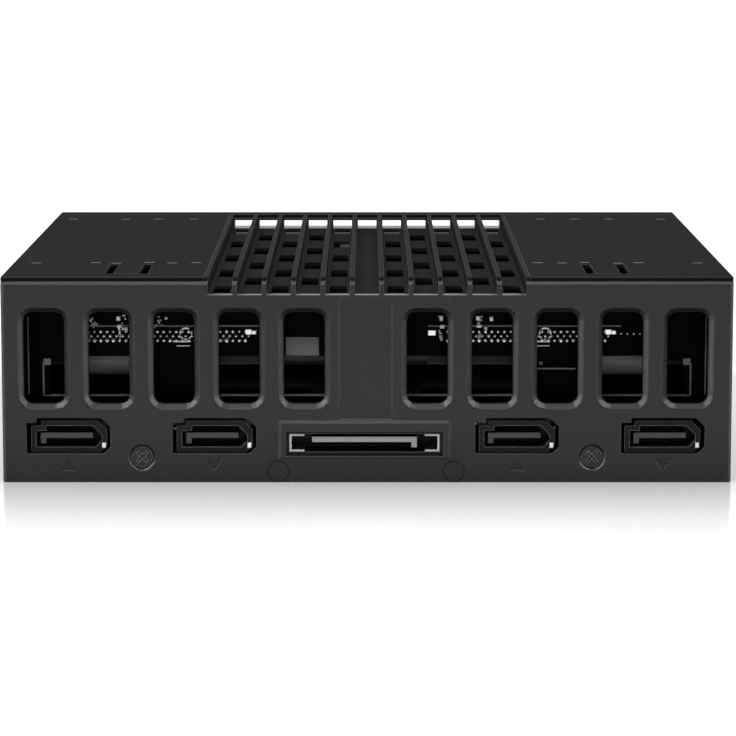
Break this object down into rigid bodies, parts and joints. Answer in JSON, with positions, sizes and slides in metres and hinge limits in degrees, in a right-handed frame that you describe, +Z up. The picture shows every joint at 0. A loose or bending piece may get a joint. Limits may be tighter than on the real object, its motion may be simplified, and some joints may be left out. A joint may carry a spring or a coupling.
{
  "type": "hot swap drive cage",
  "caption": "Low, wide metal and plastic cage with two rows of sliding drive trays, swing levers and push buttons in front, and air vents, data sockets and a power socket behind.",
  "frame": {"origin": "centre of the box's footprint, on the underside", "axes": "+Z up, +Y towards the tray fronts, -Y towards the socket side, +X across the width (to the right when looking at the socket side)"},
  "size_m": [0.146, 0.1326, 0.0413],
  "materials": {
    "black_steel": "fine matt black coat on sheet steel",
    "black_plastic": "fine spark-eroded texture, slightly bluish black",
    "socket_plastic": "smooth black connector plastic",
    "rail_plastic": "smooth black",
    "lever_plastic": "satin black",
    "tray_steel": "black coated steel",
    "black_screw": "black zinc",
    "nickel": "nickel plated",
    "board": "dark solder mask",
    "clear_plastic": "clear light pipe"
  },
  "bodies": {
    "cage": {"backplane_board": "board", "centre_divider": "black_steel", "data_socket_1": "socket_plastic", "data_socket_2": "socket_plastic", "data_socket_3": "socket_plastic", "data_socket_4": "socket_plastic", "drive_connector_1": "socket_plastic", "drive_connector_2": "socket_plastic", "drive_connector_3": "socket_plastic", "drive_connector_4": "socket_plastic", "front_frame": "black_plastic", "left_rail": "rail_plastic", "lower_chassis": "black_steel", "power_clips": "nickel", "power_socket": "socket_plastic", "rear_cover": "black_plastic", "rear_screws": "black_screw", "right_rail": "rail_plastic", "top_cover": "black_steel", "vent_channel": "black_plastic"},
    "tray_unit_1": {"bezel_1": "black_plastic", "hinge_pin_1": "nickel", "light_pipes_1": "clear_plastic", "tray_1": "tray_steel"},
    "lever_unit_1": {"lever_1": "lever_plastic"},
    "button_unit_1": {"latch_button_1": "lever_plastic"},
    "tray_unit_2": {"bezel_2": "black_plastic", "hinge_pin_2": "nickel", "light_pipes_2": "clear_plastic", "tray_2": "tray_steel"},
    "lever_unit_2": {"lever_2": "lever_plastic"},
    "button_unit_2": {"latch_button_2": "lever_plastic"},
    "tray_unit_3": {"bezel_3": "black_plastic", "hinge_pin_3": "nickel", "light_pipes_3": "clear_plastic", "tray_3": "tray_steel"},
    "lever_unit_3": {"lever_3": "lever_plastic"},
    "button_unit_3": {"latch_button_3": "lever_plastic"},
    "tray_unit_4": {"bezel_4": "black_plastic", "hinge_pin_4": "nickel", "light_pipes_4": "clear_plastic", "tray_4": "tray_steel"},
    "lever_unit_4": {"lever_4": "lever_plastic"},
    "button_unit_4": {"latch_button_4": "lever_plastic"}
  },
  "joints": [
    {"name": "tray_1_slide", "type": "slide", "parent": "cage", "child": "tray_unit_1", "axis": [0, 1, 0], "range_m": [0, 0.105]},
    {"name": "lever_1_swing", "type": "hinge", "parent": "tray_unit_1", "child": "lever_unit_1", "pos_m": [-0.065, 0.0632, 0.02794], "axis": [0, 0, 1], "range_deg": [0, 75]},
    {"name": "button_1_press", "type": "slide", "parent": "tray_unit_1", "child": "button_unit_1", "axis": [0, -1, 0], "range_m": [0, 0.0015], "stiffness_N_per_m": 400},
    {"name": "tray_2_slide", "type": "slide", "parent": "cage", "child": "tray_unit_2", "axis": [0, 1, 0], "range_m": [0, 0.105]},
    {"name": "lever_2_swing", "type": "hinge", "parent": "tray_unit_2", "child": "lever_unit_2", "pos_m": [0.0076, 0.0632, 0.02794], "axis": [0, 0, 1], "range_deg": [0, 75]},
    {"name": "button_2_press", "type": "slide", "parent": "tray_unit_2", "child": "button_unit_2", "axis": [0, -1, 0], "range_m": [0, 0.0015], "stiffness_N_per_m": 400},
    {"name": "tray_3_slide", "type": "slide", "parent": "cage", "child": "tray_unit_3", "axis": [0, 1, 0], "range_m": [0, 0.105]},
    {"name": "lever_3_swing", "type": "hinge", "parent": "tray_unit_3", "child": "lever_unit_3", "pos_m": [-0.065, 0.0632, 0.01001], "axis": [0, 0, 1], "range_deg": [0, 75]},
    {"name": "button_3_press", "type": "slide", "parent": "tray_unit_3", "child": "button_unit_3", "axis": [0, -1, 0], "range_m": [0, 0.0015], "stiffness_N_per_m": 400},
    {"name": "tray_4_slide", "type": "slide", "parent": "cage", "child": "tray_unit_4", "axis": [0, 1, 0], "range_m": [0, 0.105]},
    {"name": "lever_4_swing", "type": "hinge", "parent": "tray_unit_4", "child": "lever_unit_4", "pos_m": [0.0076, 0.0632, 0.01001], "axis": [0, 0, 1], "range_deg": [0, 75]},
    {"name": "button_4_press", "type": "slide", "parent": "tray_unit_4", "child": "button_unit_4", "axis": [0, -1, 0], "range_m": [0, 0.0015], "stiffness_N_per_m": 400}
  ]
}
